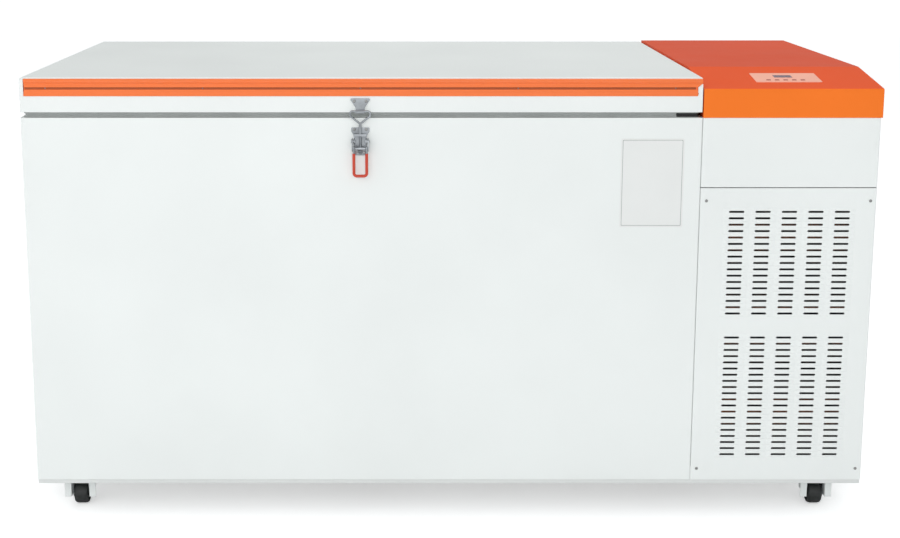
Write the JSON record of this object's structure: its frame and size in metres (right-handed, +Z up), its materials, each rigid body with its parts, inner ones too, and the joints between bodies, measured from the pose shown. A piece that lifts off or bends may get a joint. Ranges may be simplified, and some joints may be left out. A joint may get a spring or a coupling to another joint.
{
  "type": "chest ultra low temperature freezer",
  "caption": "Low white chest freezer for deep cold storage, with an orange-edged top lid held by a toggle latch, a louvred machine bay with a sloped control hood at one end, and casters.",
  "frame": {"origin": "middle of the footprint, on the floor under the wheels", "axes": "+X towards the machine bay, along the length; +Y towards the hinged back; +Z up"},
  "size_m": [1.753, 0.8792, 0.942],
  "materials": {
    "white_paint": "satin",
    "lid_grey": "satin",
    "trim_orange": "satin",
    "hood_orange": "satin",
    "gasket_grey": "matte",
    "liner_steel": "brushed",
    "foam_cream": "matte",
    "collar_white": "matte",
    "latch_zinc": "satin",
    "handle_red": "gloss",
    "control_salmon": "matte",
    "display_dark": "gloss",
    "key_red": "matte",
    "frame_grey": "satin",
    "caster_steel": "satin",
    "wheel_black": "satin",
    "machine_black": "satin",
    "copper": "satin",
    "fin_aluminium": "satin",
    "fan_grey": "matte",
    "inlet_black": "matte",
    "screw_steel": "satin"
  },
  "bodies": {
    "cabinet": {"base_frame": "frame_grey", "floor_pans": "frame_grey", "chest_front_panel": "white_paint", "chest_left_panel": "white_paint", "chest_back_panel": "white_paint", "bulkhead": "white_paint", "evaporator_coil": "fin_aluminium", "insulation_foam": "foam_cream", "inner_liner": "liner_steel", "breaker_collar": "collar_white", "port_sleeve": "collar_white", "hinge_body_leaves": "latch_zinc", "latch_base": "latch_zinc", "grille_panel": "white_paint", "bay_front_panel": "white_paint", "bay_side_panel": "white_paint", "bay_back_panel": "white_paint", "power_inlet": "inlet_black", "body_screws": "screw_steel", "hood_cover": "hood_orange", "control_bezel": "control_salmon", "display_lens": "display_dark", "controller": "inlet_black", "condenser_coil": "fin_aluminium", "fan_shroud": "machine_black", "fan_motor": "machine_black", "compressors": "machine_black", "compressor_grommets": "gasket_grey", "heat_exchanger": "collar_white", "expansion_tank": "frame_grey", "refrigerant_lines": "copper", "electrical_box": "frame_grey", "front_caster_brackets": "white_paint", "front_caster_forks": "caster_steel", "rear_caster_plates": "caster_steel"},
    "lid": {"lid_lower_frame": "white_paint", "lid_top_skin": "lid_grey", "lid_foam": "foam_cream", "lid_inner_pan": "liner_steel", "lid_gasket": "gasket_grey", "front_trim": "trim_orange", "lid_screws": "screw_steel", "latch_keeper": "latch_zinc", "hinge_lid_leaves": "latch_zinc"},
    "latch_lever": {"latch_lever": "latch_zinc", "handle_sleeve": "handle_red"},
    "latch_bail": {"bail_wire": "latch_zinc", "bail_rod": "latch_zinc"},
    "fan": {"condenser_fan": "fan_grey"},
    "front_left_wheel": {"front_left_wheel": "wheel_black"},
    "front_right_wheel": {"front_right_wheel": "wheel_black"},
    "rear_left_caster": {"rear_left_fork": "caster_steel"},
    "rear_right_caster": {"rear_right_fork": "caster_steel"},
    "rear_left_wheel": {"rear_left_wheel": "wheel_black"},
    "rear_right_wheel": {"rear_right_wheel": "wheel_black"},
    "button_1": {"button_1": "key_red"},
    "button_2": {"button_2": "key_red"},
    "button_3": {"button_3": "key_red"},
    "button_4": {"button_4": "key_red"},
    "button_5": {"button_5": "key_red"}
  },
  "joints": [
    {"name": "lid_hinge", "type": "hinge", "parent": "cabinet", "child": "lid", "pos_m": [-0.1835, 0.4316, 0.862], "axis": [-1, 0, 0], "range_deg": [0, 80]},
    {"name": "latch_lever", "type": "hinge", "parent": "cabinet", "child": "latch_lever", "pos_m": [-0.1855, -0.43071, 0.81], "axis": [-1, 0, 0], "range_deg": [0, 120]},
    {"name": "bail_swing", "type": "hinge", "parent": "latch_lever", "child": "latch_bail", "pos_m": [-0.1855, -0.4294, 0.79506], "axis": [-1, 0, 0], "range_deg": [-120, 0]},
    {"name": "fan_spin", "type": "hinge", "parent": "cabinet", "child": "fan", "pos_m": [0.6916, -0.3054, 0.385], "axis": [0, 1, 0], "continuous": true},
    {"name": "front_left_wheel_spin", "type": "hinge", "parent": "cabinet", "child": "front_left_wheel", "pos_m": [-0.7985, -0.3454, 0.025], "axis": [1, 0, 0], "continuous": true},
    {"name": "rear_left_swivel", "type": "hinge", "parent": "cabinet", "child": "rear_left_caster", "pos_m": [-0.7985, 0.3296, 0.06], "axis": [0, 0, 1], "continuous": true},
    {"name": "rear_left_wheel_spin", "type": "hinge", "parent": "rear_left_caster", "child": "rear_left_wheel", "pos_m": [-0.7985, 0.3516, 0.025], "axis": [1, 0, 0], "continuous": true},
    {"name": "front_right_wheel_spin", "type": "hinge", "parent": "cabinet", "child": "front_right_wheel", "pos_m": [0.7945, -0.3454, 0.025], "axis": [1, 0, 0], "continuous": true},
    {"name": "rear_right_swivel", "type": "hinge", "parent": "cabinet", "child": "rear_right_caster", "pos_m": [0.7945, 0.3296, 0.06], "axis": [0, 0, 1], "continuous": true},
    {"name": "rear_right_wheel_spin", "type": "hinge", "parent": "rear_right_caster", "child": "rear_right_wheel", "pos_m": [0.7945, 0.3516, 0.025], "axis": [1, 0, 0], "continuous": true},
    {"name": "button_1_press", "type": "slide", "parent": "cabinet", "child": "button_1", "axis": [0, 0.1386, -0.9904], "range_m": [0, 0.0008], "stiffness_N_per_m": 500},
    {"name": "button_2_press", "type": "slide", "parent": "cabinet", "child": "button_2", "axis": [0, 0.1386, -0.9904], "range_m": [0, 0.0008], "stiffness_N_per_m": 500},
    {"name": "button_3_press", "type": "slide", "parent": "cabinet", "child": "button_3", "axis": [0, 0.1386, -0.9904], "range_m": [0, 0.0008], "stiffness_N_per_m": 500},
    {"name": "button_4_press", "type": "slide", "parent": "cabinet", "child": "button_4", "axis": [0, 0.1386, -0.9904], "range_m": [0, 0.0008], "stiffness_N_per_m": 500},
    {"name": "button_5_press", "type": "slide", "parent": "cabinet", "child": "button_5", "axis": [0, 0.1386, -0.9904], "range_m": [0, 0.0008], "stiffness_N_per_m": 500}
  ],
  "couplings": [
    {"joint": "bail_swing", "follows": "latch_lever", "ratio": -1}
  ]
}
